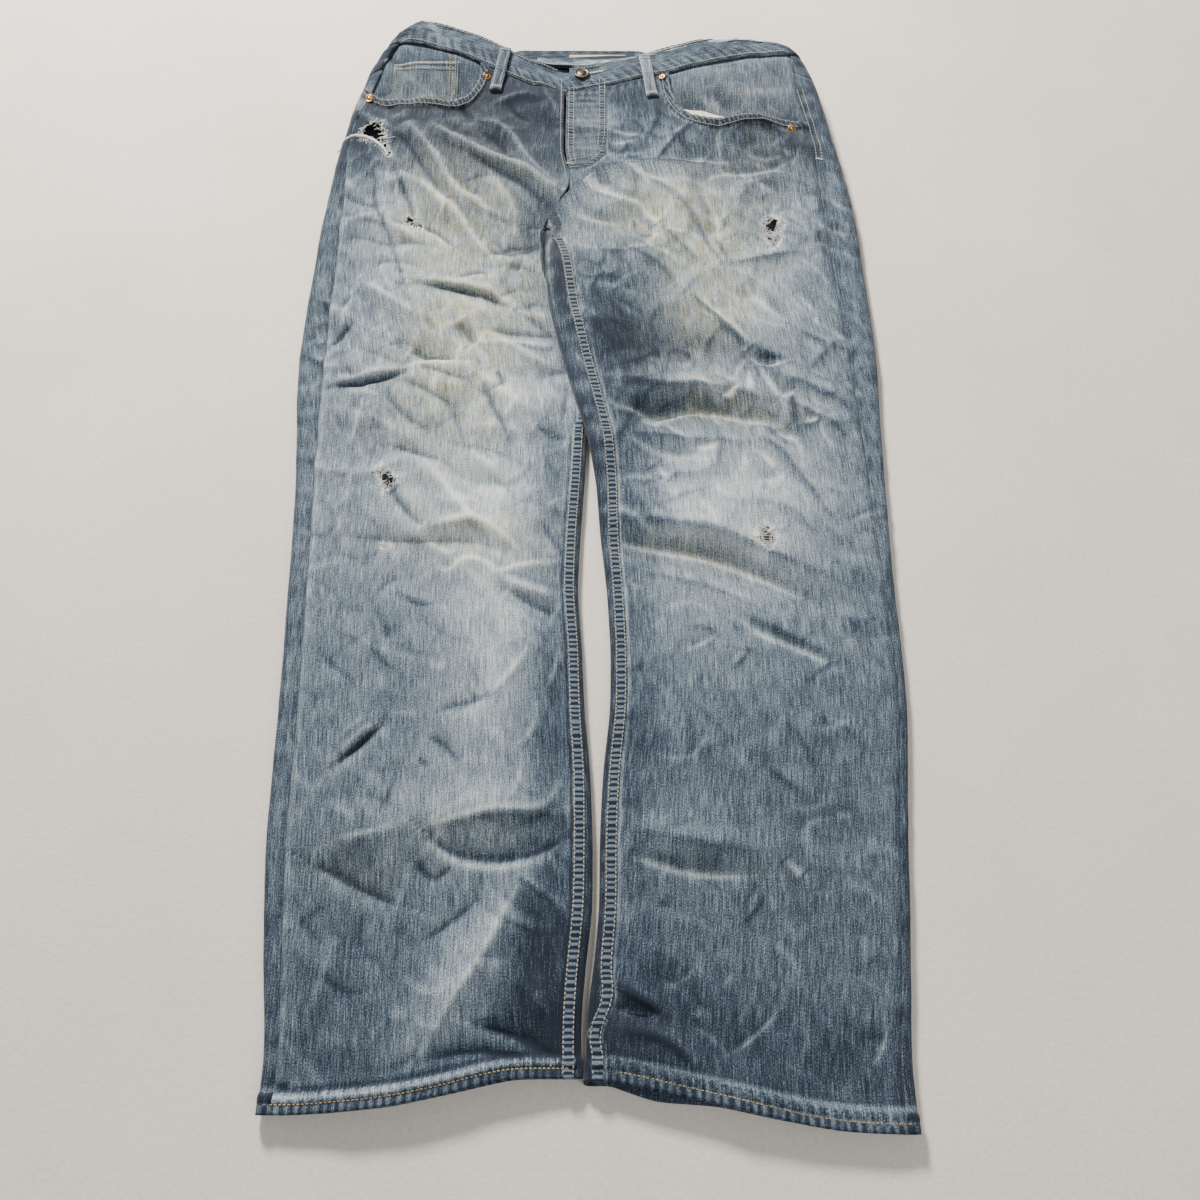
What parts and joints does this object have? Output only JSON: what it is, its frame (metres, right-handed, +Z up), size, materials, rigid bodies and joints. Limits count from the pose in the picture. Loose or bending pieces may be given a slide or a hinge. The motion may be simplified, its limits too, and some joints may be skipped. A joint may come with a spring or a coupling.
{
  "type": "ripped jeans laid flat",
  "caption": "Light-washed straight-leg denim jeans laid flat on their back, front up, with frayed rips, faded thighs and dirt.",
  "frame": {"origin": "centre of the bounding box, at its bottom, on the surface the jeans lie on", "axes": "+Y from the hems to the waist, +X to the wearer's left, which is the right as seen from above with the waist away, +Z up out of the front"},
  "size_m": [0.5628, 1.1274, 0.0445],
  "materials": {
    "denim": "washed slate-blue twill, faded and dirt-tinted",
    "lining": "plain off-white cotton",
    "label": "plain cream woven label, blank",
    "copper": "aged copper",
    "dark_metal": "dark gunmetal, worn"
  },
  "bodies": {
    "root": {"front_left": "denim", "front_right": "denim", "back_left": "denim", "back_right": "denim", "yoke_left": "denim", "yoke_right": "denim", "waistband": "denim", "pocket_facing_left": "denim", "pocket_facing_right": "denim", "coin_pocket": "denim", "fly_underlap": "denim", "back_pocket_left": "denim", "back_pocket_right": "denim", "belt_loop_front_left": "denim", "belt_loop_front_right": "denim", "belt_loop_back_left": "denim", "belt_loop_back_middle": "denim", "belt_loop_back_right": "denim", "pocket_bag_left": "lining", "pocket_bag_right": "lining", "waist_label": "label", "rivet_left_side": "copper", "rivet_left_front": "copper", "rivet_right_front": "copper", "rivet_right_side": "copper", "button": "dark_metal"}
  },
  "joints": []
}
